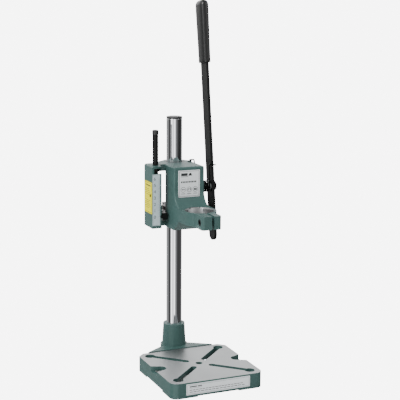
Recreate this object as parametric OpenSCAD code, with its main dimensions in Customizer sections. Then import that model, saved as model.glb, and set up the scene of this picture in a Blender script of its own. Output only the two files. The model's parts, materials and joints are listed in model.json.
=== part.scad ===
// Drill stand: a slotted base with a column, and a carriage with a collar for a hand drill.
// A side lever lowers the carriage against a torsion spring.
// X is to the right, Y to the back, Z up. The origin is on the axis of the table's centre
// hole, in the plane of the machined table. Lengths are in millimetres.

/* [Base] */
// Width and depth of the table
table_w = 150; // [130:1:190]
// Height of the base casting with its feet
base_h = 24; // [22:1:32]
// Width of the diagonal slots
slot_w = 9.5; // [8:0.5:11]
// Diameter of the hole at the end of each slot
slot_end_d = 16; // [14:0.5:17]
// Diameter of the centre hole
centre_d = 11; // [9:0.5:13]
// Wall of the base casting
base_wall = 6; // [5:0.5:8]

/* [Column] */
// Outside diameter of the column
column_d = 25; // [22:0.5:27]
// Wall of the column tube
column_wall = 2; // [1.5:0.25:3]
// Height of the tube above the table
column_top = 371.5; // [365:0.5:460]
// Height of the socket that holds the column
socket_h = 36.5; // [30:0.5:42]

/* [Carriage] */
// Width of the carriage body
head_w = 50.8; // [48:0.2:54]
// Height of the carriage casting
head_h = 98; // [96:1:104]
// Diameter of the drill collar's bore
collar_d = 43; // [38:1:46]
// Height of the drill collar
collar_h = 20.5; // [18:0.5:24]
// Height of the carriage's underside above the table
head_z = 205; // [195:1:212]
// Wall of the carriage casting
head_wall = 4; // [3:0.5:5]

/* [Lever] */
// Length of the lever from its pivot to the top of its grip
lever_reach = 290.5; // [250:0.5:320]
// Width of the lever bar
lever_w = 21.5; // [18:0.5:23]
// Thickness of the lever bar
lever_t = 4.5; // [3:0.5:6]
// Angle by which the lever leans back at rest
lever_lean = 8.1; // [4:0.1:12]
// Distance from the lever's pivot to its link pin
crank_r = 60; // [56:1:62]
// Length of the grip
grip_l = 97.5; // [80:0.5:110]

/* [Depth stop] */
// Diameter of the depth stop rod
rod_d = 9; // [6:0.5:10]
// Height of the rod above the carriage
rod_above = 55; // [40:1:70]

/* [Hidden] */
$fn = 72;

green = "#4f6b68";
bare_metal = "#b4b6b7";
chrome = "#c9cdd2";
black_plastic = "#26292a";
black_steel = "#2a2e2d";
zinc = "#9aa09f";
label_white = "#b8bdc0";
label_yellow = "#d2d040";
e = 0.01;            // overlap that keeps cuts clean
fit = 0.05;          // radial clearance of a running fit
skin = 0.7;          // thickness of the labels
half_table = table_w / 2;

// Base
base_bottom = -base_h;
foot_h = 2;
foot_l = 0.45 * half_table;
corner_r = 12;
rear_chamfer = 10;
table_plate = 7;
land_h = 1.2;
land_y = half_table + 0.5;
column_y = half_table + 29;
tail_r = column_d / 2 + 9.5;
tail_half = 0.75 * half_table;
slot_pitch = 118 / 150 * table_w;
slot_end = slot_pitch / 2;
slot_start = 16.5 / sqrt(2) + slot_w / 2 / sqrt(2);
notch_r = 9.5;
notch_depth = 19.5;
notch_mouth = 29;
notch_h = table_plate + 0.5;
socket_r = column_d / 2 + 5;
socket_foot_r = column_d / 2 + 7;
rib_t = 5;
rib_h = 9;
boss_r = centre_d / 2 + 6;
grub_r = 3;
grub_z = [12, 26];
column_bottom = base_bottom + foot_h + 2;
cap_flange = 3;
cap_plug = 10;

// Carriage
head_top = head_z + head_h;
head_y = column_y - 62;
half_head = head_w / 2;
top_plate = 10.5;
bottom_plate = 8;
cavity_bottom = head_z + bottom_plate;
cavity_top = head_top - top_plate;
side_wall_y = column_y - 26;
ring_r = column_d / 2 + 7.5;
bush_r = column_d / 2 + 3;
arm_y = [column_y - 24, column_y - 5.3];
bar_x = [-half_head - 27.4, -half_head - 12.1];
bar_y = [column_y - 40.7, arm_y[1]];
bar_wall = 3;
bar_top_wall = 3.5;
window_z = [head_top - 12, head_top - bar_top_wall];
collar_r = collar_d / 2;
collar_wall = 3.9;
collar_out = collar_r + collar_wall;
collar_top = head_z + 38;
collar_bottom = collar_top - collar_h;
collar_chamfer = 1.75;
collar_slit = 4;
fillet_r = 24;
ear_front = -collar_r - 29;
ear_left = -17.7;
ear_right = 13.7;
ear_corner_r = 4;
ear_screw_y = -collar_r - 18;
ear_screw_z = (collar_top + collar_bottom) / 2;
screw_r = 3;
screw_head_r = 5;
screw_head_h = 6;

plate_x = -18.5;
plate_w = 36;
plate_h = 42;
plate_z = head_top - plate_h - 5;
stop_screw = [column_y - 33, head_z + 51.6];

// Clamp on the column, and the stroke that is left above it
clamp_h = 18.5;
end_gap = 0.5;
clamp_z = cavity_bottom + end_gap;
stroke = cavity_top - cavity_bottom - clamp_h - 2 * end_gap;
clamp_r = column_d / 2 + 7;
clamp_lug_y = column_y + clamp_r + 5;
stop_arm_z = clamp_z + 5.5;
stop_arm_h = 9;
stop_arm_y = column_y - 33;
pointer_x = [bar_x[1] + 1, bar_x[1] + 9];
pointer_y = bar_y[0] - 3;
pointer_t = 1.5;
pointer_screw_x = bar_x[1] + 5;
pointer_screw_y = [column_y - 28, column_y - 16];
pointer_screw_r = 1.5;
pointer_head_h = 1.8;
link_anchor = [column_y + 4, clamp_z + 40.5];

// Lever and link, in layers to the right of the carriage
pivot = [column_y - 44, head_z + 62.7];
boss_out = 1.6;
pivot_r = 4;
spacer_x = half_head + boss_out;
lever_x = half_head + 16.6;
lug_x = half_head + 1.6;
lug_t = 5.4;
link_x = lug_x + lug_t + 1.2;
link_t = 3.5;
link_w = 14;
link_pin_r = 4;
crank_pin = [pivot[0] - crank_r * sin(lever_lean), pivot[1] - crank_r * cos(lever_lean)];
link_y = crank_pin[0] - link_anchor[0];
link_z = crank_pin[1] - link_anchor[1];
link_l = sqrt(link_y * link_y + link_z * link_z);
link_angle = atan2(-link_z, -link_y);
eye_travel = 9.2;    // way of the clamp's pin across the link's long eye
eye_play = 2.2;      // way of that pin along the link
eye_r = link_pin_r + eye_play / 2 + 0.3;
lever_tail = 75;
grip_r = 8;
grip_w = 29;
nut_h = 4;

// Torsion spring round the pivot spacer
wire_r = 1.1;
coil_r = 8.2;
coil_x = [spacer_x + 1.6, lever_x - 3.4];
hook = [-lever_w / 2 - wire_r - 0.3, 33];
spring_hole = [half_head - 4, column_y - 12];
spring_foot = [spring_hole[0], spring_hole[1], head_top + 1.6 + wire_r];
// Angles at which the legs leave the coil; the coil makes four turns less their difference.
anchor_leg = [spring_foot[1] - pivot[0], spring_foot[2] - pivot[1]];
coil_start = atan2(anchor_leg[1], anchor_leg[0]) - acos(coil_r / norm(anchor_leg));
coil_end = atan2(hook[1], hook[0]) + acos(coil_r / norm(hook)) - lever_lean - 4 * 360;

// Depth stop
rod_xy = [bar_x[1] - 5, column_y - 27];
rod_bottom = stop_arm_z + stop_arm_h + stroke + 0.7;
rod_top = head_top + rod_above;
lock_nut_h = 6;

// A cylinder along +X from a point.
module x_rod(r, l, p) {
    translate(p) rotate([0, 90, 0]) cylinder(r = r, h = l);
}

// A cylinder along +Y from a point.
module y_rod(r, l, p) {
    translate(p) rotate([-90, 0, 0]) cylinder(r = r, h = l);
}

// A hexagonal prism along +X; across is its width over the flats.
module x_hex(across, l, p) {
    translate(p) rotate([0, 90, 0]) cylinder(d = across / cos(30), h = l, $fn = 6);
}

// A profile drawn in Y and Z, extruded along X.
module yz_extrude(x, w) {
    translate([x, 0, 0]) rotate([90, 0, 90]) linear_extrude(w) children();
}

// A rectangle with two rounded front corners and two chamfered rear corners.
module table_outline(inset = 0) {
    h = half_table - inset;
    r = max(corner_r - inset, 1);
    c = rear_chamfer;
    for (s = [-1, 1]) translate([s * (h - r), -h + r]) circle(r);
    polygon([[-h + r, -h], [h - r, -h], [h - r, -h + r], [h, -h + r], [h, h - c], [h - c, h],
        [-h + c, h], [-h, h - c], [-h, -h + r], [-h + r, -h + r]]);
}

// The tail that carries the socket.
module tail_outline(inset = 0) {
    t = tail_half - inset;
    r = tail_r - inset;
    y = half_table - inset;
    translate([0, column_y]) circle(r);
    polygon([[-t, y - 14], [t, y - 14], [t, y], [r * 0.97, column_y - r * 0.24],
        [-r * 0.97, column_y - r * 0.24], [-t, y]]);
}

module base_outline(inset = 0) {
    table_outline(inset);
    tail_outline(inset);
}

// The rounded notch in each side of the table; the side wall runs on below it.
module side_notches() {
    x = half_table - notch_depth + notch_r;
    m = notch_mouth / 2;
    for (s = [-1, 1]) scale([s, 1]) {
        translate([x, 0]) circle(notch_r);
        polygon([[x, -notch_r], [half_table, -m], [half_table + 1, -m], [half_table + 1, m],
            [half_table, m], [x, notch_r]]);
    }
}

// Four diagonal slots, each with a round hole at its outer end.
module table_slots() {
    for (a = [45 : 90 : 315]) rotate(a) {
        translate([slot_start * sqrt(2), 0]) circle(d = slot_w);
        translate([slot_start * sqrt(2), -slot_w / 2])
            square([(slot_end - slot_start) * sqrt(2), slot_w]);
        translate([slot_end * sqrt(2), 0]) circle(d = slot_end_d);
    }
}

module base_ribs() {
    // the ribs to the sides end short of the notches
    for (a = [0 : 90 : 270]) rotate(a)
        translate([0, -rib_t / 2, -table_plate - rib_h])
            cube([a % 180 == 0 ? half_table - notch_depth - 3 : half_table - base_wall, rib_t,
                rib_h + 1]);
    translate([0, 0, -table_plate - rib_h]) cylinder(r = boss_r, h = rib_h + 1);
    translate([-rib_t / 2, half_table - 12, -table_plate - rib_h])
        cube([rib_t, column_y - half_table, rib_h + 1]);
}

module socket() {
    translate([0, column_y, base_bottom + foot_h])
        cylinder(r = socket_foot_r, h = base_h - foot_h);
    translate([0, column_y, 0]) cylinder(r1 = socket_foot_r, r2 = socket_r, h = socket_h);
}

module base_casting() color(green) {
    difference() {
        union() {
            difference() {
                translate([0, 0, base_bottom]) linear_extrude(base_h) base_outline();
                // hollow underside
                translate([0, 0, base_bottom - e]) linear_extrude(base_h - table_plate)
                    base_outline(base_wall);
            }
            intersection() {
                translate([0, 0, base_bottom]) linear_extrude(base_h) base_outline();
                base_ribs();
            }
            // painted land behind the machined table
            translate([0, 0, -e]) linear_extrude(land_h + e) intersection() {
                base_outline();
                translate([-half_table, land_y]) square([table_w, table_w]);
            }
            socket();
        }
        // relief between the feet
        for (a = [0 : 90 : 270]) rotate(a)
            translate([half_table - 20, -foot_l, base_bottom - 1])
                cube([60, 2 * foot_l, foot_h + 1]);
        translate([0, 0, -notch_h]) linear_extrude(notch_h + 1) side_notches();
        translate([0, 0, base_bottom - 1]) linear_extrude(base_h + 10) table_slots();
        translate([0, 0, base_bottom - 1]) cylinder(d = centre_d, h = base_h + 10);
        translate([0, column_y, column_bottom - 6]) cylinder(d = column_d + 2 * fit, h = base_h + 80);
        for (z = grub_z) y_rod(grub_r, 30, [0, column_y, z]);
    }
}

module base_front_label() color(label_white)
    translate([-0.7 * half_table, -half_table - skin, base_bottom + 4.7])
        cube([1.39 * half_table, skin, 17]);

module column_grub_screws() color(black_steel)
    for (z = grub_z)
        difference() {
            y_rod(grub_r, 6, [0, column_y + column_d / 2 + fit, z]);
            translate([0, column_y + column_d / 2 + 3.5, z]) rotate([-90, 0, 0])
                cylinder(d = 3.4, h = 4, $fn = 6);
        }

module column_tube() color(chrome)
    translate([0, column_y, column_bottom]) difference() {
        cylinder(d = column_d, h = column_top - column_bottom);
        translate([0, 0, -1]) cylinder(d = column_d - 2 * column_wall, h = column_top + base_h + 2);
    }

module column_cap() color(black_plastic)
    translate([0, column_y, column_top]) {
        cylinder(d = column_d, h = cap_flange);
        translate([0, 0, -cap_plug]) difference() {
            cylinder(d = column_d - 2 * column_wall, h = cap_plug + e);
            translate([0, 0, -1]) cylinder(d = column_d - 2 * column_wall - 4, h = cap_plug);
        }
    }

// Split clamp that stays on the column, with an arm to the left and a lug to the right.
module clamp_block() color(black_steel)
    difference() {
        union() {
            translate([0, column_y, clamp_z]) cylinder(r = clamp_r, h = clamp_h);
            translate([-9, column_y, clamp_z]) cube([18, clamp_r + 11, clamp_h]);
            // stop arm into the scale bar
            translate([-half_head - 4, column_y - 23, stop_arm_z]) cube([half_head, 12, stop_arm_h]);
            translate([bar_x[0] + 6.3, stop_arm_y, stop_arm_z])
                cube([bar_x[1] - bar_x[0] + 4.3, column_y - 11 - stop_arm_y, stop_arm_h]);
            // link lug
            translate([0, link_anchor[0] - 8, clamp_z]) cube([lug_x + lug_t, 16, clamp_h]);
            translate([lug_x, link_anchor[0] - 8, clamp_z]) cube([lug_t, 16, link_anchor[1] - clamp_z]);
            x_rod(8, lug_t, [lug_x, link_anchor[0], link_anchor[1]]);
        }
        translate([0, column_y, clamp_z - 1]) cylinder(d = column_d + 2 * fit, h = clamp_h + 2);
        translate([-1.5, column_y, clamp_z - 1]) cube([3, clamp_r + 20, clamp_h + 2]);
        x_rod(screw_r + 0.1, 30, [-15, clamp_lug_y, clamp_z + clamp_h / 2]);
        x_rod(link_pin_r, lug_t + 2, [lug_x - 1, link_anchor[0], link_anchor[1]]);
        for (y = pointer_screw_y) translate([pointer_screw_x, y, stop_arm_z + 1])
            cylinder(r = pointer_screw_r, h = stop_arm_h);
    }

module clamp_bolt() color(black_steel) {
    y = clamp_lug_y;
    z = clamp_z + clamp_h / 2;
    difference() {
        x_rod(screw_head_r, screw_head_h, [-9 - screw_head_h, y, z]);
        x_hex(5, 4, [-9 - screw_head_h - 1, y, z]);
    }
    x_rod(screw_r, 18 + 7.5, [-9, y, z]);
}

module clamp_nut() color(zinc)
    difference() {
        x_hex(10, 5, [9, clamp_lug_y, clamp_z + clamp_h / 2]);
        x_rod(screw_r, 7, [8, clamp_lug_y, clamp_z + clamp_h / 2]);
    }

// Sheet pointer on the stop arm; its front end is bent down and points at the scale.
module depth_pointer() color(black_steel) {
    top = stop_arm_z + stop_arm_h;
    difference() {
        translate([pointer_x[0], pointer_y, top])
            cube([pointer_x[1] - pointer_x[0], 32, pointer_t]);
        for (y = pointer_screw_y) translate([pointer_screw_x, y, top - 1])
            cylinder(r = pointer_screw_r, h = 4);
    }
    translate([0, pointer_y + pointer_t, 0]) rotate([90, 0, 0]) linear_extrude(pointer_t)
        polygon([[pointer_x[1], top + pointer_t], [pointer_x[0], top + pointer_t],
            [pointer_x[0], top - 1.5], [pointer_x[0] - 4.5, top - 4.5], [pointer_x[0], top - 7.5],
            [pointer_x[0], stop_arm_z], [pointer_x[1], stop_arm_z]]);
}

module pointer_screws() color(zinc)
    for (y = pointer_screw_y) translate([pointer_screw_x, y, 0]) {
        translate([0, 0, stop_arm_z + 1]) cylinder(r = pointer_screw_r, h = stop_arm_h);
        translate([0, 0, stop_arm_z + stop_arm_h + pointer_t])
            cylinder(r = 2.6, h = pointer_head_h);
    }

module link_pin() color(zinc) {
    p = [lug_x, link_anchor[0], link_anchor[1]];
    x_rod(link_pin_r, link_x + link_t + 2.4 - lug_x, p);
}

module link_pin_clip() color(black_steel)
    difference() {
        x_rod(eye_r + 2.5, 1, [link_x + link_t + 0.8, link_anchor[0], link_anchor[1]]);
        x_rod(link_pin_r, 3, [link_x + link_t, link_anchor[0], link_anchor[1]]);
    }

// Link from the lever's pin up to the clamp's lug, where it has a long eye.
module link_bar() color(black_steel)
    in_link() difference() {
        union() {
            x_rod(link_w / 2, link_t, [link_x, 0, 0]);
            translate([link_x, 0, -link_w / 2]) cube([link_t, link_l, link_w]);
            long_eye(link_t, link_x, eye_r + 4);
        }
        x_rod(link_pin_r + fit, link_t + 2, [link_x - 1, 0, 0]);
        long_eye(link_t + 2, link_x - 1, eye_r);
    }

module long_eye(l, x, r) {
    y = link_l - eye_play / 2;
    for (z = [0, eye_travel]) x_rod(r, l, [x, y, z]);
    translate([x, y - r, 0]) cube([l, 2 * r, eye_travel]);
}

// Places its children on the link: Y runs from the lever's pin to the clamp's pin.
module in_link() {
    translate([0, crank_pin[0], crank_pin[1]]) rotate([link_angle, 0, 0]) children();
}

// Outline of the carriage's top and bottom plates.
module plate_outline() {
    reach = -bar_x[1];
    drop = column_y - arm_y[1];
    d = sqrt(reach * reach + drop * drop);
    a = atan2(drop, reach) + asin(ring_r / d);
    t = sqrt(d * d - ring_r * ring_r);
    translate([0, column_y]) circle(ring_r);
    polygon([[-half_head, head_y], [half_head, head_y], [half_head, column_y - 3],
        [ring_r * 0.8, column_y + ring_r * 0.6], [-reach + t * cos(a), arm_y[1] + t * sin(a)],
        [-reach, arm_y[1]], [-reach, arm_y[0]], [-half_head, arm_y[0]]]);
}

// Neck from the body to the collar, with a hollow curve above and a sloping underside.
module neck() {
    yz_extrude(-half_head, head_w) difference() {
        polygon([[0, collar_bottom], [collar_r + 1, collar_bottom], [head_y + e, head_z],
            [head_y + e, collar_top + fillet_r], [head_y - fillet_r, collar_top + fillet_r],
            [head_y - fillet_r, collar_top], [0, collar_top]]);
        translate([head_y - fillet_r, collar_top + fillet_r]) circle(fillet_r);
    }
}

// The collar's two ears as one block with rounded front corners.
module ears_outline() {
    r = ear_corner_r;
    for (x = [ear_left + r, ear_right - r]) translate([x, ear_front + r]) circle(r);
    polygon([[ear_left, 0], [ear_left, ear_front + r], [ear_left + r, ear_front],
        [ear_right - r, ear_front], [ear_right, ear_front + r], [ear_right, 0]]);
}

// Channel to the left that carries the scale and the depth stop.
module scale_bar() {
    w = bar_x[1] - bar_x[0];
    d = bar_y[1] - bar_y[0];
    difference() {
        translate([bar_x[0], bar_y[0], head_z]) cube([w, d, head_h]);
        translate([bar_x[0] + bar_wall, bar_y[0] + bar_wall, cavity_bottom])
            cube([w, d - 2 * bar_wall, head_top - bar_top_wall - cavity_bottom]);
        // window in the front for the lock nut
        translate([bar_x[0] + bar_wall, bar_y[0] - 1, window_z[0]])
            cube([w, bar_wall + 2, window_z[1] - window_z[0]]);
    }
}

module carriage_casting() color(green) {
    difference() {
        union() {
            translate([0, 0, head_z]) linear_extrude(bottom_plate) plate_outline();
            translate([0, 0, cavity_top]) linear_extrude(top_plate) plate_outline();
            translate([-half_head, head_y, head_z]) cube([head_w, head_wall + 1, head_h]);
            for (x = [-half_head, half_head - head_wall])
                translate([x, head_y, head_z]) cube([head_wall, side_wall_y - head_y, head_h]);
            scale_bar();
            neck();
            translate([0, 0, collar_bottom]) cylinder(r = collar_out, h = collar_h);
            translate([0, 0, collar_bottom]) linear_extrude(collar_h) ears_outline();
            x_rod(9, head_wall + boss_out, [half_head - head_wall, pivot[0], pivot[1]]);
        }
        translate([0, 0, collar_bottom - 20]) cylinder(r = collar_r, h = collar_h + 21);
        translate([0, 0, collar_top - collar_chamfer])
            cylinder(r1 = collar_r, r2 = collar_r + collar_chamfer + e, h = collar_chamfer + e);
        translate([0, 0, collar_top]) cylinder(r = collar_r + collar_chamfer, h = fillet_r);
        // room for the depth stop's nut beside the top plate
        translate([bar_x[1] - 1, rod_xy[1] - 9, window_z[0]])
            cube([3.2, 18, window_z[1] - window_z[0]]);
        // flat for the name plate
        translate([plate_x - 0.4, head_y - 20, plate_z - 0.4])
            cube([plate_w + 0.8, 20, plate_h + 0.8]);
        translate([-collar_slit / 2, ear_front - 1, collar_bottom - 1])
            cube([collar_slit, -ear_front, collar_h + 2]);
        x_rod(screw_r + 0.3, 60, [ear_left - 1, ear_screw_y, ear_screw_z]);
        x_rod(screw_head_r + 0.4, screw_head_h + 1.5, [ear_left - 1, ear_screw_y, ear_screw_z]);
        translate([0, column_y, head_z - 1]) cylinder(r = bush_r, h = head_h + 2);
        for (z = [head_z + bottom_plate / 2, head_top - top_plate / 2])
            y_rod(2.5, ring_r, [0, column_y + bush_r - 1, z]);
        translate([rod_xy[0], rod_xy[1], head_top - 20]) cylinder(r = rod_d / 2 + fit, h = 30);
        x_rod(pivot_r, 20, [half_head - head_wall - 5, pivot[0], pivot[1]]);
        x_rod(2.5, 10, [bar_x[0] - 3, stop_screw[0], stop_screw[1]]);
        translate([spring_hole[0], spring_hole[1], head_top - 7]) cylinder(r = 1.6, h = 12);
    }
}

module guide_bush(z, h) color(black_plastic)
    translate([0, column_y, z]) difference() {
        cylinder(r = bush_r, h = h);
        translate([0, 0, -1]) cylinder(d = column_d + 2 * fit, h = h + 2);
    }

module upper_guide_bush() guide_bush(cavity_top, top_plate);

module lower_guide_bush() guide_bush(head_z, bottom_plate);

module guide_set_screws() color(black_steel)
    for (z = [head_z + bottom_plate / 2, head_top - top_plate / 2])
        difference() {
            y_rod(2.5, 4.2, [0, column_y + bush_r, z]);
            translate([0, column_y + bush_r + 2.4, z]) rotate([-90, 0, 0])
                cylinder(d = 2.9, h = 3, $fn = 6);
        }

module collar_screw() color(black_steel) {
    difference() {
        x_rod(screw_head_r, screw_head_h, [ear_left + 0.3, ear_screw_y, ear_screw_z]);
        x_hex(5, 4, [ear_left - 0.7, ear_screw_y, ear_screw_z]);
    }
    x_rod(screw_r, ear_right - ear_left - screw_head_h - 1.5,
        [ear_left + screw_head_h, ear_screw_y, ear_screw_z]);
}

module scale_plate() color(label_white)
    translate([bar_x[0] + 0.2, bar_y[0] - skin, head_z + 4.7])
        cube([bar_x[1] - bar_x[0] - 2.6, skin, window_z[0] - head_z - 5]);

module name_plate() color(label_white)
    translate([plate_x, head_y - skin, plate_z]) cube([plate_w, skin, plate_h]);

module side_label() color(label_yellow)
    difference() {
        translate([bar_x[0] - skin, bar_y[0] + 1.2, head_z + 23]) cube([skin, 32, 49.5]);
        x_rod(2.6, 4, [bar_x[0] - 3, stop_screw[0], stop_screw[1]]);
    }

module stop_lock_screw() color(black_steel)
    difference() {
        x_rod(2.5, 5, [bar_x[0] - 0.9, stop_screw[0], stop_screw[1]]);
        x_hex(2.9, 2.5, [bar_x[0] - 1.9, stop_screw[0], stop_screw[1]]);
    }

module depth_stop_rod() color(black_steel)
    translate([rod_xy[0], rod_xy[1], rod_bottom])
        cylinder(d = rod_d, h = rod_top - 7 - rod_bottom);

module depth_stop_cap() color(black_plastic)
    translate([rod_xy[0], rod_xy[1], rod_top - 7]) {
        cylinder(d = rod_d + 1, h = 6);
        translate([0, 0, 6]) cylinder(d1 = rod_d + 1, d2 = rod_d - 1, h = 1);
    }

module depth_stop_nut() color(black_steel)
    translate([rod_xy[0], rod_xy[1], window_z[1] - lock_nut_h]) difference() {
        rotate(30) cylinder(d = 13 / cos(30), h = lock_nut_h, $fn = 6);
        translate([0, 0, -1]) cylinder(r = rod_d / 2 + fit, h = lock_nut_h + 2);
    }

module pivot_bolt() color(zinc) {
    x_hex(13, 5, [half_head - head_wall - 5, pivot[0], pivot[1]]);
    x_rod(pivot_r, lever_x + lever_t + nut_h + 2.3 - half_head + head_wall,
        [half_head - head_wall, pivot[0], pivot[1]]);
}

module pivot_spacer() color(zinc)
    difference() {
        x_rod(5.6, lever_x - 1.7 - spacer_x, [spacer_x, pivot[0], pivot[1]]);
        x_rod(pivot_r, 30, [spacer_x - 2, pivot[0], pivot[1]]);
    }

module pivot_washers() color(zinc)
    for (x = [lever_x - 1.7, lever_x + lever_t + 0.1])
        difference() {
            x_rod(8.5, x < lever_x ? 1.6 : 1, [x, pivot[0], pivot[1]]);
            x_rod(pivot_r, 4, [x - 1, pivot[0], pivot[1]]);
        }

module pivot_nut() color(black_steel)
    difference() {
        x_hex(13, nut_h, [lever_x + lever_t + 1.1, pivot[0], pivot[1]]);
        x_rod(pivot_r, 10, [lever_x + lever_t, pivot[0], pivot[1]]);
    }

// Screw in the carriage's top that holds the fixed leg of the spring.
module spring_anchor() color(black_steel)
    translate([spring_hole[0], spring_hole[1], head_top]) {
        translate([0, 0, -6]) cylinder(r = 1.6, h = 6 + e);
        cylinder(r = 3.4, h = 1.6);
    }

// A wire of radius r along a list of points that keep clear of the direction ref.
function unit(v) = v / norm(v);
function tangent(p, i) = unit(p[min(i + 1, len(p) - 1)] - p[max(i - 1, 0)]);
module wire(p, r, ref, sides = 8) {
    points = [for (i = [0 : len(p) - 1])
        let (t = tangent(p, i), u = unit(cross(t, ref)), v = cross(t, u))
        for (k = [0 : sides - 1]) p[i] + r * (cos(360 * k / sides) * u + sin(360 * k / sides) * v)];
    n = len(p);
    walls = [for (i = [0 : n - 2]) for (k = [0 : sides - 1])
        let (a = i * sides + k, b = i * sides + (k + 1) % sides)
        [a, a + sides, b + sides, b]];
    polyhedron(points, concat([[for (k = [0 : sides - 1]) k]], walls,
        [[for (k = [sides - 1 : -1 : 0]) (n - 1) * sides + k]]), convexity = 8);
}

// A point at a distance along the lever and off its centre line.
function on_lever(x, off, along) = [x, pivot[0] + off * cos(lever_lean) + along * sin(lever_lean),
    pivot[1] - off * sin(lever_lean) + along * cos(lever_lean)];

module torsion_spring() color(zinc) {
    steps = 90;
    coil = [for (i = [0 : steps]) let (f = i / steps, a = coil_start + (coil_end - coil_start) * f)
        [coil_x[0] + (coil_x[1] - coil_x[0]) * f,
            pivot[0] + coil_r * cos(a), pivot[1] + coil_r * sin(a)]];
    foot = [coil_x[0], spring_foot[1], spring_foot[2]];
    fixed_leg = [spring_foot, foot - [1.6, 0.5, 0], foot - [0.3, 1.2, 0.7],
        for (f = [0.1 : 0.2 : 0.9]) foot + (coil[0] - foot) * f];
    tip = on_lever(coil_x[1], hook[0], hook[1]);
    last = coil[steps];
    lever_leg = [for (f = [0.1 : 0.2 : 0.9]) last + (tip - last) * f];
    wire(concat(fixed_leg, coil, lever_leg), wire_r, [1, 0.35, 0]);
    // hook round the front edge of the lever
    wire([on_lever(coil_x[1], hook[0], hook[1] - 4.2), on_lever(coil_x[1] + 0.3, hook[0], hook[1] - 1.5),
        on_lever(coil_x[1] + 1.5, hook[0], hook[1]),
        on_lever(lever_x + lever_t + 3, hook[0], hook[1])], wire_r,
        on_lever(0, 1, 0) - on_lever(0, 0, 0));
}

module in_lever() {
    translate([0, pivot[0], pivot[1]]) rotate([-lever_lean, 0, 0]) children();
}

module lever_bar() color(black_steel)
    in_lever() difference() {
        union() {
            x_rod(lever_w / 2, lever_t, [lever_x, 0, -lever_tail]);
            translate([lever_x, -lever_w / 2, -lever_tail])
                cube([lever_t, lever_w, lever_reach - 8 + lever_tail]);
        }
        x_rod(pivot_r + fit, lever_t + 2, [lever_x - 1, 0, 0]);
        x_rod(link_pin_r, lever_t + 2, [lever_x - 1, 0, -crank_r]);
    }

module lever_grip() color(black_plastic)
    in_lever() difference() {
        hull() for (s = [-1, 1]) translate([lever_x + lever_t / 2, s * (grip_w / 2 - grip_r), 0]) {
            translate([0, 0, lever_reach - grip_l]) cylinder(r = grip_r, h = 1, $fn = 32);
            translate([0, 0, lever_reach - grip_r]) sphere(r = grip_r, $fn = 32);
        }
        translate([lever_x, -lever_w / 2, 0]) cube([lever_t, lever_w, lever_reach - 8]);
    }

module lever_link_pin() color(zinc)
    in_lever() x_rod(link_pin_r, lever_x + lever_t + 1 - link_x + 1.6, [link_x - 1.6, 0, -crank_r]);

module lever_pin_clip() color(black_steel)
    in_lever() difference() {
        x_rod(link_pin_r + 3.4, 1, [link_x + link_t + 0.6, 0, -crank_r]);
        x_rod(link_pin_r, 3, [link_x + link_t, 0, -crank_r]);
    }

base_casting();
base_front_label();
column_grub_screws();
column_tube();
column_cap();
clamp_block();
clamp_bolt();
clamp_nut();
depth_pointer();
pointer_screws();
link_pin();
link_pin_clip();
link_bar();
carriage_casting();
upper_guide_bush();
lower_guide_bush();
guide_set_screws();
collar_screw();
scale_plate();
name_plate();
side_label();
stop_lock_screw();
depth_stop_rod();
depth_stop_cap();
depth_stop_nut();
pivot_bolt();
pivot_spacer();
pivot_washers();
pivot_nut();
spring_anchor();
torsion_spring();
lever_bar();
lever_grip();
lever_link_pin();
lever_pin_clip();
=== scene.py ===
import json
import math

import bmesh
import bpy
import numpy as np
from mathutils import Matrix, Vector


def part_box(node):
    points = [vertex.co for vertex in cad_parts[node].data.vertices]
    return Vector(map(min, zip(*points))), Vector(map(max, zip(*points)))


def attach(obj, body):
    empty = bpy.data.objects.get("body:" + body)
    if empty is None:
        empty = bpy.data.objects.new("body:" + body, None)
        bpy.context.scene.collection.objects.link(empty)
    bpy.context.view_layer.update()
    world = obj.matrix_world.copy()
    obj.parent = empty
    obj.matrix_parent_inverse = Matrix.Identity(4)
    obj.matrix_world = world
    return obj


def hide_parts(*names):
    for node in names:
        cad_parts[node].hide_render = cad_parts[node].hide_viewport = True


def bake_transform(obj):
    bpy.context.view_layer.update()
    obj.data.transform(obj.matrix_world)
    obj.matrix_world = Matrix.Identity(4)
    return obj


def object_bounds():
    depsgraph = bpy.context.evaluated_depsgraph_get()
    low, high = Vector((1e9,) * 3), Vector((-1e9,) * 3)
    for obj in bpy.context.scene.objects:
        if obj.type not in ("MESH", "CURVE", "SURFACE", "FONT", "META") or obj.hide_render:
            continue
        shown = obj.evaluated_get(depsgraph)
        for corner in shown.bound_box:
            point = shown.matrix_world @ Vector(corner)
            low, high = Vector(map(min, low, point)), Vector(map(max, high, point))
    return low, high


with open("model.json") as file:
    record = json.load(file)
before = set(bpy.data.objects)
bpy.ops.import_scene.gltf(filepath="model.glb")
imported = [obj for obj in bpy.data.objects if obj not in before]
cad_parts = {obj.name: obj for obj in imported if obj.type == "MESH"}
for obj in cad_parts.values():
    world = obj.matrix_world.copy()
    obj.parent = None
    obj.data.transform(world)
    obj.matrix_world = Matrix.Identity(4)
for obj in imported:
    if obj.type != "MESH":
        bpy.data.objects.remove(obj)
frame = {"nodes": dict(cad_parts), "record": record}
cad_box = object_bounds()
MM = 0.001


# ---- Room -------------------------------------------------------------------------------------
# A white sweep that the lamps' shadows don't darken, one large soft lamp high on the left, a
# weaker one on the right, and a room whose lit panels and dark gaps stand in the chrome as bands.

def linear(code):
    """An sRGB hex colour such as "#808080" as linear red, green, blue and alpha."""
    part = [int(code[i:i + 2], 16) / 255 for i in (1, 3, 5)]
    return [c / 12.92 if c <= 0.04045 else ((c + 0.055) / 1.055) ** 2.4 for c in part] + [1.0]


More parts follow.
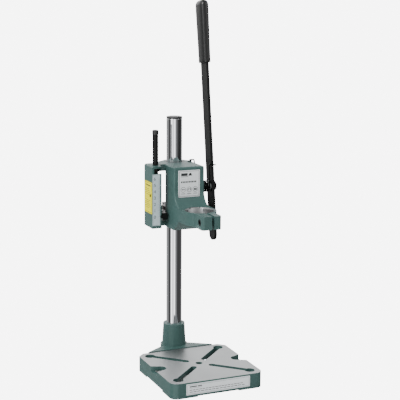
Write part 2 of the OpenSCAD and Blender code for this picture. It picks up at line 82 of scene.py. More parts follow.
def add(tree, kind, links=None, **settings):
    """Adds a node, sets its settings, and links or sets the inputs named in links."""
    node = tree.nodes.new(kind)
    for name, value in settings.items():
        setattr(node, name, value)
    for socket, source in (links or {}).items():
        if isinstance(source, bpy.types.NodeSocket):
            tree.links.new(source, node.inputs[socket])
        else:
            node.inputs[socket].default_value = source
    return node


def new_material(name, **sockets):
    """A material with the given values on its shader's own sockets, its node tree and shader."""
    material = bpy.data.materials.new(name)
    material.use_nodes = True
    shader = material.node_tree.nodes["Principled BSDF"]
    for socket, value in sockets.items():
        shader.inputs[socket.replace("_", " ")].default_value = value
    return material, material.node_tree, shader


BACKDROP = 7.0
UNDER_TABLE = 72 * MM


def white_sweep():
    """Matt white board: evenly white where it is looked at, but shaded under the base casting."""
    material, tree, shader = new_material("white_sweep_board", Base_Color=linear("#e4e4e3"),
                                          Roughness=0.9)
    seen = add(tree, "ShaderNodeLightPath").outputs["Is Camera Ray"]
    glow = add(tree, "ShaderNodeEmission", {"Color": (1.0, 1.0, 1.0, 1), "Strength": BACKDROP})
    place = add(tree, "ShaderNodeSeparateXYZ",
                {0: add(tree, "ShaderNodeNewGeometry").outputs["Position"]})
    # UNDER_TABLE is half a square that is a little smaller than the table above it
    far_x = add(tree, "ShaderNodeMath", {0: place.outputs["X"]}, operation="ABSOLUTE")
    far_y = add(tree, "ShaderNodeMath", {0: place.outputs["Y"]}, operation="ABSOLUTE")
    far = add(tree, "ShaderNodeMath", {0: far_x.outputs[0], 1: far_y.outputs[0]},
              operation="MAXIMUM")
    outside = add(tree, "ShaderNodeMath", {0: far.outputs[0], 1: UNDER_TABLE},
                  operation="GREATER_THAN")
    lit = add(tree, "ShaderNodeMath", {0: seen, 1: outside.outputs[0]}, operation="MULTIPLY")
    mixed = add(tree, "ShaderNodeMixShader", {0: lit.outputs[0], 1: shader.outputs[0],
                                              2: glow.outputs[0]})
    tree.links.new(mixed.outputs[0], tree.nodes["Material Output"].inputs["Surface"])
    return material


FLOOR_SIZE = 9.0
floor_z = cad_box[0][2]
floor_mesh = bpy.data.meshes.new("floor")
floor_mesh.from_pydata([(x * FLOOR_SIZE, y * FLOOR_SIZE, floor_z)
                        for x, y in ((-1, -1), (1, -1), (1, 1), (-1, 1))], [], [(0, 1, 2, 3)])
floor_mesh.materials.append(white_sweep())
floor = bpy.data.objects.new("floor", floor_mesh)
bpy.context.scene.collection.objects.link(floor)
floor.visible_glossy = False


def soft_lamp(name, azimuth, elevation, distance, size, watts):
    """A square area lamp aimed at the middle of the stand, placed by angles in degrees."""
    lamp = bpy.data.lights.new(name, "AREA")
    lamp.size = size
    lamp.energy = watts
    a, e = math.radians(azimuth), math.radians(elevation)
    middle = Vector((0, 0.05, 0.22))
    away = Vector((math.sin(a) * math.cos(e), -math.cos(a) * math.cos(e), math.sin(e)))
    holder = bpy.data.objects.new(name, lamp)
    holder.location = middle + away * distance
    holder.rotation_euler = (-away).to_track_quat("-Z", "Y").to_euler()
    bpy.context.scene.collection.objects.link(holder)


soft_lamp("key_lamp", -66, 42, 1.9, 1.1, 38)
soft_lamp("fill_lamp", 48, 30, 2.2, 1.2, 10)

room = bpy.data.worlds.new("room")
room.use_nodes = True
bpy.context.scene.world = room
tree = room.node_tree
direction = add(tree, "ShaderNodeTexCoord").outputs["Generated"]
split = add(tree, "ShaderNodeSeparateXYZ", {0: direction})
turn = add(tree, "ShaderNodeMath", {0: split.outputs["X"], 1: split.outputs["Y"]},
           operation="ARCTAN2").outputs[0]
share = add(tree, "ShaderNodeMapRange", {"Value": turn, "From Min": -math.pi, "From Max": math.pi})
panels = add(tree, "ShaderNodeValToRGB", {"Fac": share.outputs[0]})
# brightness of the panels low round the room, from its front past its left, back and right
for place, grey in ((0.007, 0.22), (0.030, 3.2), (0.060, 3.0), (0.084, 1.7), (0.123, 1.4),
                    (0.160, 4.0), (0.180, 3.0), (0.205, 0.20), (0.254, 0.05), (0.290, 0.12),
                    (0.330, 0.36), (0.400, 0.42), (0.470, 0.60), (0.56, 1.2), (0.640, 0.90),
                    (0.690, 0.35), (0.740, 0.05), (0.80, 0.08), (0.860, 0.08), (0.915, 0.045),
                    (0.945, 0.25), (0.975, 0.30)):
    stop = panels.color_ramp.elements.new(place)
    stop.color = (grey, grey, grey, 1)
for stop in [panels.color_ramp.elements[0], panels.color_ramp.elements[-1]]:
    stop.color = (0.25, 0.25, 0.25, 1)
# above them the room is evenly grey, and brighter behind the stand
behind = add(tree, "ShaderNodeMapRange", {"Value": split.outputs["Y"], "From Min": 0.2,
                                           "From Max": 0.9, "To Min": 0.7, "To Max": 2.6})
raised = add(tree, "ShaderNodeMapRange", {"Value": split.outputs["Z"], "From Min": 0.0,
                                           "From Max": 0.05})
ceiling = add(tree, "ShaderNodeMixRGB", {0: raised.outputs[0], 1: panels.outputs[0],
                                         2: behind.outputs[0]})
seen = add(tree, "ShaderNodeLightPath").outputs["Is Camera Ray"]
plain = add(tree, "ShaderNodeMixRGB", {0: seen, 1: ceiling.outputs[0],
                                       2: (BACKDROP, BACKDROP, BACKDROP, 1)})
tree.links.new(plain.outputs[0], tree.nodes["Background"].inputs["Color"])
tree.nodes["Background"].inputs["Strength"].default_value = 1.0


# ---- Camera -----------------------------------------------------------------------------------
# The camera stands in front of the stand and to its left, a little above the collar, and looks
# down by about eleven degrees.

AZIMUTH, PITCH, ROLL = math.radians(-23.42), math.radians(11.07), math.radians(0.37)
DISTANCE, HEIGHT, LENS = 1.6756, 0.5866, 101.5
lens = bpy.data.cameras.new("camera")
lens.lens = LENS
camera = bpy.data.objects.new("camera", lens)
camera.location = (DISTANCE * math.sin(AZIMUTH), -DISTANCE * math.cos(AZIMUTH), HEIGHT)
camera.rotation_euler = (Matrix.Rotation(AZIMUTH, 3, "Z")
                         @ Matrix.Rotation(math.pi / 2 - PITCH, 3, "X")
                         @ Matrix.Rotation(ROLL, 3, "Z")).to_euler()
bpy.context.scene.collection.objects.link(camera)
bpy.context.scene.camera = camera


# ---- Castings: base and carriage ----------------------------------------------------------------
# Both are aluminium castings with softly rounded edges, stove-enamelled in grey green. The table
# and the collar's bore are machined after painting, so they are bare and bright.

def finished_copy(node, edge, steps, materials, limit=28, broad=None):
    """A CAD node's surface, merged and cleaned of flat seams, its edges rounded to edge metres.

    Edges sharper than limit degrees are rounded in steps faces. Where broad is given, it tells
    from an edge's middle whether that edge is rounded.
    """
    source = frame["nodes"][node]
    form = bmesh.new()
    form.from_mesh(source.data)
    bmesh.ops.remove_doubles(form, verts=form.verts, dist=2e-6)
    bmesh.ops.dissolve_limit(form, angle_limit=math.radians(0.6), verts=form.verts,
                             edges=form.edges)
    if broad:
        weight = form.edges.layers.float.new("bevel_weight_edge")
        for line in form.edges:
            if line.calc_face_angle(0.0) > math.radians(limit):
                line[weight] = float(broad((line.verts[0].co + line.verts[1].co) / 2))
    mesh = bpy.data.meshes.new(node + "_finished")
    form.to_mesh(mesh)
    form.free()
    mesh.polygons.foreach_set("use_smooth", np.ones(len(mesh.polygons), bool))
    mesh.set_sharp_from_angle(angle=math.radians(limit))
    for material in materials:
        mesh.materials.append(material)
    piece = bpy.data.objects.new(node + "_finished", mesh)
    bpy.context.scene.collection.objects.link(piece)
    if edge:
        bevel = piece.modifiers.new("rounded_edges", "BEVEL")
        bevel.width = edge
        bevel.segments = steps
        bevel.limit_method = "WEIGHT" if broad else "ANGLE"
        bevel.angle_limit = math.radians(limit)
        bevel.harden_normals = True
        bevel.use_clamp_overlap = not broad
    owner = next(name for name, nodes in frame["record"]["behaviour"]["bodies"].items()
                 if node in nodes)
    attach(piece, owner)
    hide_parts(node)
    return piece


def face_centres(piece):
    """Centres and normals of a piece's faces as two arrays, in metres."""
    count = len(piece.data.polygons)
    centre, normal = np.empty(count * 3), np.empty(count * 3)
    piece.data.polygons.foreach_get("center", centre)
    piece.data.polygons.foreach_get("normal", normal)
    return centre.reshape(-1, 3), normal.reshape(-1, 3)


def green_enamel():
    """Stoving enamel sprayed on a casting: satin, with a faint orange peel over sand grain."""
    material, tree, shader = new_material("green_stoving_enamel", IOR=1.42)
    place = add(tree, "ShaderNodeTexCoord").outputs["Object"]
    grain = add(tree, "ShaderNodeTexNoise",
                {"Vector": place, "Scale": 1 / (2.2 * MM), "Detail": 3.0})
    cloud = add(tree, "ShaderNodeTexNoise",
                {"Vector": place, "Scale": 1 / (28 * MM), "Detail": 2.0})
    colour = add(tree, "ShaderNodeMixRGB", {0: cloud.outputs["Fac"], 1: linear("#324e4b"),
                                            2: linear("#3b5855")})
    rough = add(tree, "ShaderNodeMapRange", {"Value": grain.outputs["Fac"], "To Min": 0.40,
                                             "To Max": 0.54})
    peel = add(tree, "ShaderNodeBump", {"Height": grain.outputs["Fac"], "Strength": 0.16,
                                        "Distance": 0.25 * MM})
    tree.links.new(colour.outputs[0], shader.inputs["Base Color"])
    tree.links.new(rough.outputs[0], shader.inputs["Roughness"])
    tree.links.new(peel.outputs[0], shader.inputs["Normal"])
    return material


def milled_aluminium():
    """Face-milled aluminium: bare grey metal, with fine parallel cutter marks 0.6 mm apart."""
    material, tree, shader = new_material("milled_aluminium", Metallic=1.0)
    place = add(tree, "ShaderNodeTexCoord").outputs["Object"]
    along = add(tree, "ShaderNodeMapping", {"Vector": place, "Scale": (40, 1 / (0.6 * MM), 40)})
    marks = add(tree, "ShaderNodeTexNoise",
                {"Vector": along.outputs[0], "Scale": 1.0, "Detail": 4.0})
    stain = add(tree, "ShaderNodeTexNoise",
                {"Vector": place, "Scale": 1 / (45 * MM), "Detail": 3.0})
    colour = add(tree, "ShaderNodeMixRGB", {0: stain.outputs["Fac"], 1: linear("#878a8b"),
                                            2: linear("#9b9d9e")})
    rough = add(tree, "ShaderNodeMapRange", {"Value": marks.outputs["Fac"], "To Min": 0.32,
                                             "To Max": 0.52})
    relief = add(tree, "ShaderNodeBump", {"Height": marks.outputs["Fac"], "Strength": 0.25,
                                          "Distance": 0.05 * MM})
    tree.links.new(colour.outputs[0], shader.inputs["Base Color"])
    tree.links.new(rough.outputs[0], shader.inputs["Roughness"])
    tree.links.new(relief.outputs[0], shader.inputs["Normal"])
    return material


enamel, milled = green_enamel(), milled_aluminium()

CAST_EDGE = 1.0 * MM
# the table's face lies in the plane z = 0 and points up
IN_PLANE, POINTS_UP = 0.2 * MM, 0.9
base = finished_copy("base_casting", CAST_EDGE, 3, [enamel, milled])
centre, normal = face_centres(base)
bare = (np.abs(centre[:, 2]) < IN_PLANE) & (normal[:, 2] > POINTS_UP)
base.data.polygons.foreach_set("material_index", bare.astype(np.int32))

# the spacer starts a washer away from the body's side, and the neck meets the body under the plate
WASHER, UNDER_PLATE, NECK_START = 1.6 * MM, 13 * MM, 3 * MM
plate_low, plate_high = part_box("name_plate")
carriage_low, carriage_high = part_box("carriage_casting")
half_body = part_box("pivot_spacer")[0][0] - WASHER
neck_top = plate_low[2] - UNDER_PLATE


def outer_corner(point):
    """Whether an edge of the carriage is an outer corner of its body, neck or scale bar."""
    near = 0.3 * MM
    side = abs(abs(point.x) - half_body) < near
    planes = [side, abs(point.x - carriage_low[0]) < near, abs(point.y - plate_high[1]) < near,
              abs(point.z - carriage_high[2]) < near]
    neck = side and NECK_START < point.y < plate_high[1] and point.z > neck_top + near
    return sum(planes) > 1 or neck


CARRIAGE_EDGE = 2.4 * MM
# the machined bore with its lead-in, below the neck
LEAD_IN, COLLAR_TOP = 1.8 * MM, 243.5 * MM
carriage = finished_copy("carriage_casting", CARRIAGE_EDGE, 4, [enamel, milled],
                         broad=outer_corner)
centre, normal = face_centres(carriage)
collar = next(m for m in frame["record"]["mounts"] if m["name"] == "drill_collar")
bore = collar["dims"]["r_mm"] * MM
away = np.hypot(centre[:, 0], centre[:, 1])
inward = (centre[:, 0] * normal[:, 0] + centre[:, 1] * normal[:, 1]) < 0
bare = (away < bore + LEAD_IN) & inward & (centre[:, 2] < COLLAR_TOP)
carriage.data.polygons.foreach_set("material_index", bare.astype(np.int32))


# ---- Column -------------------------------------------------------------------------------------
# A precision steel tube, ground and hard-chromed, with a moulded cap pressed into its end.

def hard_chrome():
    """Hard chrome on a ground tube: almost a mirror, softened a little by the grinding lines."""
    material, tree, shader = new_material("hard_chrome", Base_Color=linear("#dfe1e4"),
                                          Metallic=1.0)
    place = add(tree, "ShaderNodeTexCoord").outputs["Object"]
    round_it = add(tree, "ShaderNodeMapping", {"Vector": place, "Scale": (30, 30, 1 / (0.5 * MM))})
    lines = add(tree, "ShaderNodeTexNoise", {"Vector": round_it.outputs[0], "Scale": 1.0,
                                             "Detail": 2.0})
    rough = add(tree, "ShaderNodeMapRange", {"Value": lines.outputs["Fac"], "To Min": 0.02,
                                             "To Max": 0.08})
    tree.links.new(rough.outputs[0], shader.inputs["Roughness"])
    return material


def black_moulding():
    """Moulded black polyamide: matt, with the fine grain of an eroded tool."""
    material, tree, shader = new_material("black_polyamide", Base_Color=linear("#17191a"),
                                          IOR=1.53)
    place = add(tree, "ShaderNodeTexCoord").outputs["Object"]
    grain = add(tree, "ShaderNodeTexNoise",
                {"Vector": place, "Scale": 1 / (0.5 * MM), "Detail": 2.0})
    rough = add(tree, "ShaderNodeMapRange", {"Value": grain.outputs["Fac"], "To Min": 0.42,
                                             "To Max": 0.6})
    relief = add(tree, "ShaderNodeBump", {"Height": grain.outputs["Fac"], "Strength": 0.3,
                                          "Distance": 0.05 * MM})
    tree.links.new(rough.outputs[0], shader.inputs["Roughness"])
    tree.links.new(relief.outputs[0], shader.inputs["Normal"])
    return material


polyamide = black_moulding()
finished_copy("column_tube", 0.5 * MM, 2, [hard_chrome()])
finished_copy("column_cap", 0.8 * MM, 3, [polyamide])
for node in ("upper_guide_bush", "lower_guide_bush", "depth_stop_cap"):
    finished_copy(node, 0.3 * MM, 2, [polyamide])


# ---- Black steel parts --------------------------------------------------------------------------
# The clamp block, the link, the lever bar, the stop rod and the screws are steel with a black
# oxide or paint finish that wears to a dull grey sheen.

def black_steel():
    """Black-oxidised steel: dark, a little oily, with rub marks of a few millimetres."""
    material, tree, shader = new_material("black_oxide_steel", IOR=1.28)
    place = add(tree, "ShaderNodeTexCoord").outputs["Object"]
    rub = add(tree, "ShaderNodeTexNoise", {"Vector": place, "Scale": 1 / (6 * MM), "Detail": 5.0})
    colour = add(tree, "ShaderNodeMixRGB", {0: rub.outputs["Fac"], 1: linear("#060707"),
                                            2: linear("#101212")})
    rough = add(tree, "ShaderNodeMapRange", {"Value": rub.outputs["Fac"], "To Min": 0.32,
                                             "To Max": 0.5})
    tree.links.new(colour.outputs[0], shader.inputs["Base Color"])
    tree.links.new(rough.outputs[0], shader.inputs["Roughness"])
    return material


blackened = black_steel()
finished_copy("clamp_block", 0.8 * MM, 3, [blackened])
finished_copy("link_bar", 0.4 * MM, 2, [blackened])
finished_copy("lever_bar", 0.5 * MM, 2, [blackened])
for node in ("column_grub_screws", "clamp_bolt", "depth_pointer", "link_pin_clip",
             "guide_set_screws", "collar_screw", "stop_lock_screw", "depth_stop_nut", "pivot_nut",
             "spring_anchor", "lever_pin_clip", "depth_stop_rod"):
    finished_copy(node, 0.25 * MM, 2, [blackened])


# ---- Zinc-plated parts --------------------------------------------------------------------------
# Pins, washers, the pivot bolt and its spacer are turned or stamped steel with a dull zinc coat.

def zinc_plate():
    """Zinc plate that has dulled: grey metal with a cloudy, soft gloss."""
    material, tree, shader = new_material("dull_zinc_plate", Metallic=1.0)
    place = add(tree, "ShaderNodeTexCoord").outputs["Object"]
    cloud = add(tree, "ShaderNodeTexNoise",
                {"Vector": place, "Scale": 1 / (3 * MM), "Detail": 4.0})
    colour = add(tree, "ShaderNodeMixRGB", {0: cloud.outputs["Fac"], 1: linear("#868c8b"),
                                            2: linear("#a9aeac")})
    rough = add(tree, "ShaderNodeMapRange", {"Value": cloud.outputs["Fac"], "To Min": 0.3,
                                             "To Max": 0.5})
    tree.links.new(colour.outputs[0], shader.inputs["Base Color"])
    tree.links.new(rough.outputs[0], shader.inputs["Roughness"])
    return material


zinc = zinc_plate()
for node in ("clamp_nut", "pointer_screws", "link_pin", "pivot_bolt", "pivot_spacer",
             "pivot_washers", "lever_link_pin"):
    finished_copy(node, 0.25 * MM, 2, [zinc])


# ---- Labels and scale ---------------------------------------------------------------------------
# Thin anodised plates and one yellow film, each with a printed border. The scale has a mark for
# every millimetre of stroke, and a number for every centimetre.

def printed_plate(name, face, ink, low, high, axes, margin, line, **sockets):
    """A plate with a printed border line: margin in from its edges and line wide, in metres."""
    material, tree, shader = new_material(name, **sockets)
    place = add(tree, "ShaderNodeTexCoord").outputs["Object"]
    split = add(tree, "ShaderNodeSeparateXYZ", {0: place})
    gaps = []
    for axis in axes:
        i = "XYZ".index(axis)
        middle, half = (low[i] + high[i]) / 2, (high[i] - low[i]) / 2
        off = add(tree, "ShaderNodeMath", {0: split.outputs[axis], 1: middle},
                  operation="SUBTRACT")
        size = add(tree, "ShaderNodeMath", {0: off.outputs[0]}, operation="ABSOLUTE")
        gaps.append(add(tree, "ShaderNodeMath", {0: half, 1: size.outputs[0]},
                        operation="SUBTRACT").outputs[0])
    inside = add(tree, "ShaderNodeMath", {0: gaps[0], 1: gaps[1]}, operation="MINIMUM")
    drawn = add(tree, "ShaderNodeMath", {0: inside.outputs[0], 1: margin, 2: line / 2},
                operation="COMPARE")
    cloud = add(tree, "ShaderNodeTexNoise",
                {"Vector": place, "Scale": 1 / (9 * MM), "Detail": 2.0})
    rough = add(tree, "ShaderNodeMapRange", {"Value": cloud.outputs["Fac"], "To Min": 0.34,
                                             "To Max": 0.48})
    colour = add(tree, "ShaderNodeMixRGB", {0: drawn.outputs[0], 1: linear(face), 2: linear(ink)})
    tree.links.new(colour.outputs[0], shader.inputs["Base Color"])
    tree.links.new(rough.outputs[0], shader.inputs["Roughness"])
    return material, tree, shader, split, drawn, colour


for node, name, face, ink, axes, margin, index in (
        ("name_plate", "silver_name_plate", "#d6dadc", "#4a5052", "XZ", 1.6 * MM, 1.5),
        ("base_front_label", "silver_base_label", "#dde2e5", "#8a9193", "XZ", 1.6 * MM, 1.5),
        ("side_label", "yellow_film", "#e0d600", "#3c3a14", "YZ", 1.8 * MM, 1.2)):
    plate = printed_plate(name, face, ink, *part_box(node), axes, margin, 0.6 * MM, IOR=index)[0]
    finished_copy(node, 0.15 * MM, 2, [plate])

ink, _, _ = new_material("black_printing_ink", Base_Color=linear("#202425"), Roughness=0.55)


def printed_shapes(name, node, owner, shapes):
    """Flat ink on a plate: closed outlines in millimetres from the plate's lower left corner."""
    low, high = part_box(node)
    flat = int(np.argmin(high - low))
    u = 1 if flat == 0 else 0
    points, faces = [], []
    for outline in shapes:
        outline = np.asarray(outline)
        spot = np.empty((len(outline), 3))
        spot[:, flat] = low[flat] - 0.03 * MM
        # seen from the plate's left the outlines run from back to front
        spot[:, u] = high[1] - outline[:, 0] * MM if flat == 0 else low[0] + outline[:, 0] * MM
        spot[:, 2] = low[2] + outline[:, 1] * MM
        faces.append(list(range(len(points), len(points) + len(outline))))
        points.extend(spot.tolist())
    mesh = bpy.data.meshes.new(name)
    mesh.from_pydata(points, [], faces)
    mesh.materials.append(ink)
    piece = bpy.data.objects.new(name, mesh)
    bpy.context.scene.collection.objects.link(piece)
    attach(piece, owner)


def bar(x, y, w, h):
    """The outline of a printed rule."""
    return [(x, y), (x + w, y), (x + w, y + h), (x, y + h)]


def ring(x, y, r, w, sides=36):
    """A printed ring of outer radius r and line width w, as short bars round a circle."""
    a = np.linspace(0, 2 * math.pi, sides + 1)
    c = np.stack([np.cos(a), np.sin(a)], -1)
    return [np.array([c[i] * r, c[i + 1] * r, c[i + 1] * (r - w), c[i] * (r - w)]) + (x, y)
            for i in range(sides)]


# a plain mark, two rules of short strokes, and three ringed symbols: goggles, ear muffs, a book
printed_shapes("name_plate_print", "name_plate", "carriage", [
    bar(4.5, 33.5, 11, 4.2), [(16.5, 33.5), (23, 33.5), (21, 37.7), (18.5, 37.7)],
    bar(4.5, 31.8, 12, 0.8),
    *[bar(4.5 + 2.6 * i, 22.6, 1.9, 2.6) for i in range(10)],
    *ring(8.0, 12.0, 4.2, 0.55), bar(5.6, 11.4, 2.0, 1.6), bar(8.3, 11.4, 2.0, 1.6),
    *ring(18.2, 12.0, 4.2, 0.55), bar(15.6, 10.6, 1.3, 2.6), bar(19.5, 10.6, 1.3, 2.6),
    bar(15.9, 13.4, 4.6, 0.6),
    *ring(28.4, 12.0, 4.2, 0.55), bar(26.2, 10.4, 2.0, 3.2), bar(28.6, 10.4, 2.0, 3.2),
    *[bar(4.6 + 10.2 * i, 5.2, 6.8, 0.7) for i in range(3)]])
printed_shapes("side_label_print", "side_label", "carriage", [
    bar(5, 43.0, 22, 1.6),
    *[bar(5, 38.0 - 2.9 * i, 16 + 5.5 * ((i * 7) % 3) / 2, 0.55) for i in range(4)],
    *[bar(5, 20.0 - 2.9 * i, 21 - 4 * ((i * 5) % 3) / 2, 0.55) for i in range(5)]])

# two lines of strokes and a heading, as on a safety label
printed_shapes("base_label_print", "base_front_label", "base", [
    bar(5, 12.0, 12, 1.6), bar(18, 12.0, 7, 1.6), bar(5, 10.4, 20, 0.4),
    *[bar(5 + 5.2 * i, 7.0, 4.2, 0.9) for i in range(17)],
    *[bar(5 + 6.1 * i, 4.0, 5.0, 0.9) for i in range(15)]])

scale_low, scale_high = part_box("scale_plate")
# the pointer's tip is 6 mm below its top
scale_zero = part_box("depth_pointer")[1][2] - 6 * MM
material, tree, shader, split, drawn, colour = printed_plate(
    "printed_scale", "#b2c3c7", "#2b3031", scale_low, scale_high, "XZ", 0.7 * MM, 0.3 * MM)
up = add(tree, "ShaderNodeMath", {0: split.outputs["Z"], 1: scale_zero}, operation="SUBTRACT")
marks = None
# millimetre marks are short, five-millimetre marks longer, and centimetre marks the longest
for step, length in ((1 * MM, 2.2 * MM), (5 * MM, 3.2 * MM), (10 * MM, 4.6 * MM)):
    snapped = add(tree, "ShaderNodeMath", {0: up.outputs[0], 1: step}, operation="SNAP")
    rest = add(tree, "ShaderNodeMath", {0: up.outputs[0], 1: snapped.outputs[0]},
               operation="SUBTRACT")
    near = add(tree, "ShaderNodeMath", {0: rest.outputs[0], 1: 0.17 * MM}, operation="LESS_THAN")
    short = add(tree, "ShaderNodeMath", {0: split.outputs["X"], 1: float(scale_high[0]) - length},
                operation="GREATER_THAN")
    mark = add(tree, "ShaderNodeMath", {0: near.outputs[0], 1: short.outputs[0]},
               operation="MULTIPLY")
    marks = mark if marks is None else add(tree, "ShaderNodeMath",
                                           {0: marks.outputs[0], 1: mark.outputs[0]},
                                           operation="MAXIMUM")
above = add(tree, "ShaderNodeMath", {0: up.outputs[0], 1: -0.2 * MM}, operation="GREATER_THAN")
below = add(tree, "ShaderNodeMath", {0: up.outputs[0], 1: 60.4 * MM}, operation="LESS_THAN")
band = add(tree, "ShaderNodeMath", {0: above.outputs[0], 1: below.outputs[0]},
           operation="MULTIPLY")
marked = add(tree, "ShaderNodeMath", {0: marks.outputs[0], 1: band.outputs[0]},
             operation="MULTIPLY")
inked = add(tree, "ShaderNodeMath", {0: drawn.outputs[0], 1: marked.outputs[0]},
            operation="MAXIMUM")
tree.links.new(inked.outputs[0], colour.inputs[0])
finished_copy("scale_plate", 0.15 * MM, 2, [material])

DIGIT_HEIGHT = 5.2 * MM
for number in range(7):
    text = bpy.data.curves.new("digit", "FONT")
    text.body = str(number)
    text.size = DIGIT_HEIGHT * 1.4
    text.extrude = 0.03 * MM
    text.align_x, text.align_y = "CENTER", "CENTER"
    holder = bpy.data.objects.new("digit", text)
    mesh = bpy.data.meshes.new_from_object(holder)
    spot = Vector((float(scale_low[0]) + 3.6 * MM, float(scale_low[1]) - 0.02 * MM,
                   scale_zero + number * 10 * MM))
    mesh.transform(Matrix.Translation(spot) @ Matrix.Rotation(math.pi / 2, 4, "X"))
    mesh.materials.clear()
    mesh.materials.append(ink)
    digit = bpy.data.objects.new("scale_digit_%d" % number, mesh)
    bpy.context.scene.collection.objects.link(digit)
    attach(digit, "carriage")


# ---- Lever grip ---------------------------------------------------------------------------------
# A moulded hand grip of oval section, pushed over the flat bar: cut square below, slightly fuller
# towards the top, and domed at its end.

joints = {joint["name"]: joint for joint in frame["record"]["behaviour"]["joints"]}
pivot = np.array(joints["lever_swing"]["pos_m"])
pin = np.array(joints["link_swing"]["pos_m"])
lean = math.atan2(pivot[1] - pin[1], pivot[2] - pin[2])
along_lever = np.array([0, math.sin(lean), math.cos(lean)])
across_lever = np.array([0, math.cos(lean), -math.sin(lean)])


def surface(name, grid, closed_round=True):
    """A mesh object from a grid of points; rows run along the piece and columns round it."""
    rows, cols = grid.shape[:2]
    row, col = np.meshgrid(np.arange(rows - 1), np.arange(cols if closed_round else cols - 1),
                           indexing="ij")
    after = (col + 1) % cols
    faces = np.stack([row * cols + col, row * cols + after, (row + 1) * cols + after,
                      (row + 1) * cols + col], -1).reshape(-1, 4)
    ends = [list(range(cols))[::-1], [(rows - 1) * cols + i for i in range(cols)]]
    mesh = bpy.data.meshes.new(name)
    mesh.from_pydata(grid.reshape(-1, 3).tolist(), [], faces.tolist() + ends)
    mesh.polygons.foreach_set("use_smooth", np.ones(len(mesh.polygons), bool))
    mesh.set_sharp_from_angle(angle=math.radians(40))
    piece = bpy.data.objects.new(name, mesh)
    bpy.context.scene.collection.objects.link(piece)
    return piece


def grip_grid(bottom, top, half_x, half_y, steps=72, round_steps=64):
    """Superellipse sections: the half widths grow by a tenth upwards and close in a dome."""
    t = np.concatenate([[0, 0, 0.004, 0.012], np.linspace(0.03, 0.86, 24),
                        1 - 0.14 * np.cos(np.linspace(0.1, 0.5 * math.pi - 0.02, steps - 28))])
    height = bottom + (top - bottom) * t
    full = 0.91 + 0.09 * np.clip(t / 0.8, 0, 1) ** 1.4
    dome_h = 1.15 * half_x
    d = np.clip((height - (top - dome_h)) / dome_h, 0, 1)
    close = (1 - d ** 2.3) ** (1 / 2.1)
    foot = np.ones_like(t)
    foot[:4] = (0.80, 0.90, 0.97, 1.0)
    angle = np.linspace(0, 2 * math.pi, round_steps, endpoint=False)
    c, s = np.cos(angle), np.sin(angle)
    power = 2 / 2.7
    x = np.sign(c) * np.abs(c) ** power
    y = np.sign(s) * np.abs(s) ** power
    shrink_x = (full * foot * close * half_x)[:, None]
    shrink_y = (full * foot * (half_y - half_x * (1 - close)))[:, None]
    return height[:, None], shrink_x * x, shrink_y * y


def glossy_grip():
    """Injection-moulded polypropylene: nearly black, smooth, fairly glossy, marked by hands."""
    material, tree, shader = new_material("black_polypropylene", Base_Color=linear("#0b0c0c"),
                                          IOR=1.49)
    place = add(tree, "ShaderNodeTexCoord").outputs["Object"]
    marks = add(tree, "ShaderNodeTexNoise",
                {"Vector": place, "Scale": 1 / (5 * MM), "Detail": 4.0})
    rough = add(tree, "ShaderNodeMapRange", {"Value": marks.outputs["Fac"], "To Min": 0.26,
                                             "To Max": 0.42})
    relief = add(tree, "ShaderNodeBump", {"Height": marks.outputs["Fac"], "Strength": 0.1,
                                          "Distance": 0.1 * MM})
    tree.links.new(rough.outputs[0], shader.inputs["Roughness"])
    tree.links.new(relief.outputs[0], shader.inputs["Normal"])
    return material


grip_low, grip_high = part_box("lever_grip")
GRIP_LENGTH, GRIP_REACH, GRIP_WIDTH = 97.5 * MM, 290.5 * MM, 29 * MM
grip_half = float(grip_high[0] - grip_low[0]) / 2
height, wide, deep = grip_grid(GRIP_REACH - GRIP_LENGTH, GRIP_REACH, grip_half, GRIP_WIDTH / 2)
grip_centre = np.array([(grip_low[0] + grip_high[0]) / 2, pivot[1], pivot[2]])
grid = (grip_centre + height[..., None] * along_lever + wide[..., None] * np.array([1.0, 0, 0])
        + deep[..., None] * across_lever)
grip = surface("lever_grip_moulded", grid)
grip.data.materials.append(glossy_grip())
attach(grip, "lever")
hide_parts("lever_grip")


# ---- Torsion spring -----------------------------------------------------------------------------
# One length of drawn spring steel wire: a leg that rests on a screw on the carriage, about three
# and a half turns round the pivot's spacer, and a leg that hooks round the lever's front edge.

def round_wire(name, path, radius, sides=12):
    """A round tube along a path: each ring stands across it, turned as little as possible."""
    step = np.gradient(path, axis=0)
    step /= np.linalg.norm(step, axis=1)[:, None]
    side = np.cross(step[0], [0.3, 0.5, 0.8])
    rings = []
    angle = np.linspace(0, 2 * math.pi, sides, endpoint=False)
    for point, ahead in zip(path, step):
        side = side - ahead * side.dot(ahead)
        side /= np.linalg.norm(side)
        over = np.cross(ahead, side)
        rings.append(point + radius * (np.cos(angle)[:, None] * side
                                       + np.sin(angle)[:, None] * over))
    return surface(name, np.array(rings))


def smoothed(points, count):
    """A smooth curve through given points: Catmull-Rom, count steps between two points."""
    p = np.vstack([2 * points[0] - points[1], points, 2 * points[-1] - points[-2]])
    t = np.linspace(0, 1, count, endpoint=False)[:, None]
    parts = [0.5 * (2 * b + (c - a) * t + (2 * a - 5 * b + 4 * c - d) * t ** 2
                    + (3 * b - a - 3 * c + d) * t ** 3)
             for a, b, c, d in zip(p[:-3], p[1:-2], p[2:-1], p[3:])]
    return np.vstack(parts + [points[-1:]])


WIRE_RADIUS, COIL_RADIUS = 1.1 * MM, 8.2 * MM
spacer_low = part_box("pivot_spacer")[0]
lever_low, lever_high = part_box("lever_bar")
anchor_low, anchor_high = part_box("spring_anchor")
coil_start, coil_end = spacer_low[0] + 1.6 * MM, lever_low[0] - 3.4 * MM


def by_lever(x, off, along):
    """A point beside the lever: off is across it to the back, along is upwards from the pivot."""
    return np.array([x, pivot[1], pivot[2]]) + off * across_lever + along * along_lever


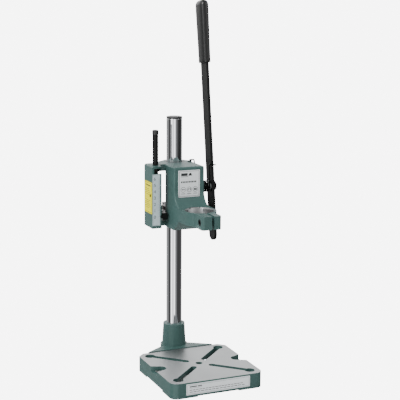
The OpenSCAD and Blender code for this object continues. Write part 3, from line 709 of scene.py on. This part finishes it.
# each leg leaves the coil along its tangent
front, hook = -(10.75 * MM + WIRE_RADIUS + 0.3 * MM), 33 * MM
foot = np.array([coil_start, (anchor_low[1] + anchor_high[1]) / 2, anchor_high[2] + WIRE_RADIUS])
tip = by_lever(coil_end, front, hook)
leg = foot[1:] - pivot[1:]
first = math.atan2(leg[1], leg[0]) - math.acos(COIL_RADIUS / np.hypot(*leg))
leg = tip[1:] - pivot[1:]
last = math.atan2(leg[1], leg[0]) + math.acos(COIL_RADIUS / np.hypot(*leg)) - 8 * math.pi
turn = np.linspace(0, 1, 120)
angle = first + (last - first) * turn
coil = np.stack([coil_start + (coil_end - coil_start) * turn,
                 pivot[1] + COIL_RADIUS * np.cos(angle),
                 pivot[2] + COIL_RADIUS * np.sin(angle)], -1)
fixed_leg = np.array([
    foot + (anchor_low[0] + 3.4 * MM - coil_start, 0, 0), foot - (1.6 * MM, 0.5 * MM, 0),
    foot - (0.3 * MM, 1.2 * MM, 0.7 * MM), foot + (coil[0] - foot) * 0.12,
    foot + (coil[0] - foot) * 0.5])
lever_leg = np.array([
    coil[-1] + (tip - coil[-1]) * 0.5, coil[-1] + (tip - coil[-1]) * 0.94,
    by_lever(coil_end + 0.9 * MM, front, hook + 0.6 * MM),
    by_lever(coil_end + 2.4 * MM, front, hook + 1.0 * MM),
    by_lever(lever_high[0] + 0.5 * MM, front, hook),
    by_lever(lever_high[0] + 2.6 * MM, front, hook)])
path = np.vstack([smoothed(np.vstack([fixed_leg, coil[:1]]), 8)[:-1], coil,
                  smoothed(np.vstack([coil[-1:], lever_leg]), 8)[1:]])
spring = round_wire("torsion_spring_wire", path, WIRE_RADIUS)


def spring_wire():
    """Drawn, oil-tempered wire: dark grey metal, with faint lines along it from the die."""
    material, tree, shader = new_material("oil_tempered_wire", Metallic=1.0)
    place = add(tree, "ShaderNodeTexCoord").outputs["Object"]
    lines = add(tree, "ShaderNodeTexNoise",
                {"Vector": place, "Scale": 1 / (0.8 * MM), "Detail": 3.0})
    colour = add(tree, "ShaderNodeMixRGB", {0: lines.outputs["Fac"], 1: linear("#0e1010"),
                                            2: linear("#1e2221")})
    rough = add(tree, "ShaderNodeMapRange", {"Value": lines.outputs["Fac"], "To Min": 0.25,
                                             "To Max": 0.42})
    tree.links.new(colour.outputs[0], shader.inputs["Base Color"])
    tree.links.new(rough.outputs[0], shader.inputs["Roughness"])
    return material


spring.data.materials.append(spring_wire())
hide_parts("torsion_spring")
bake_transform(spring)
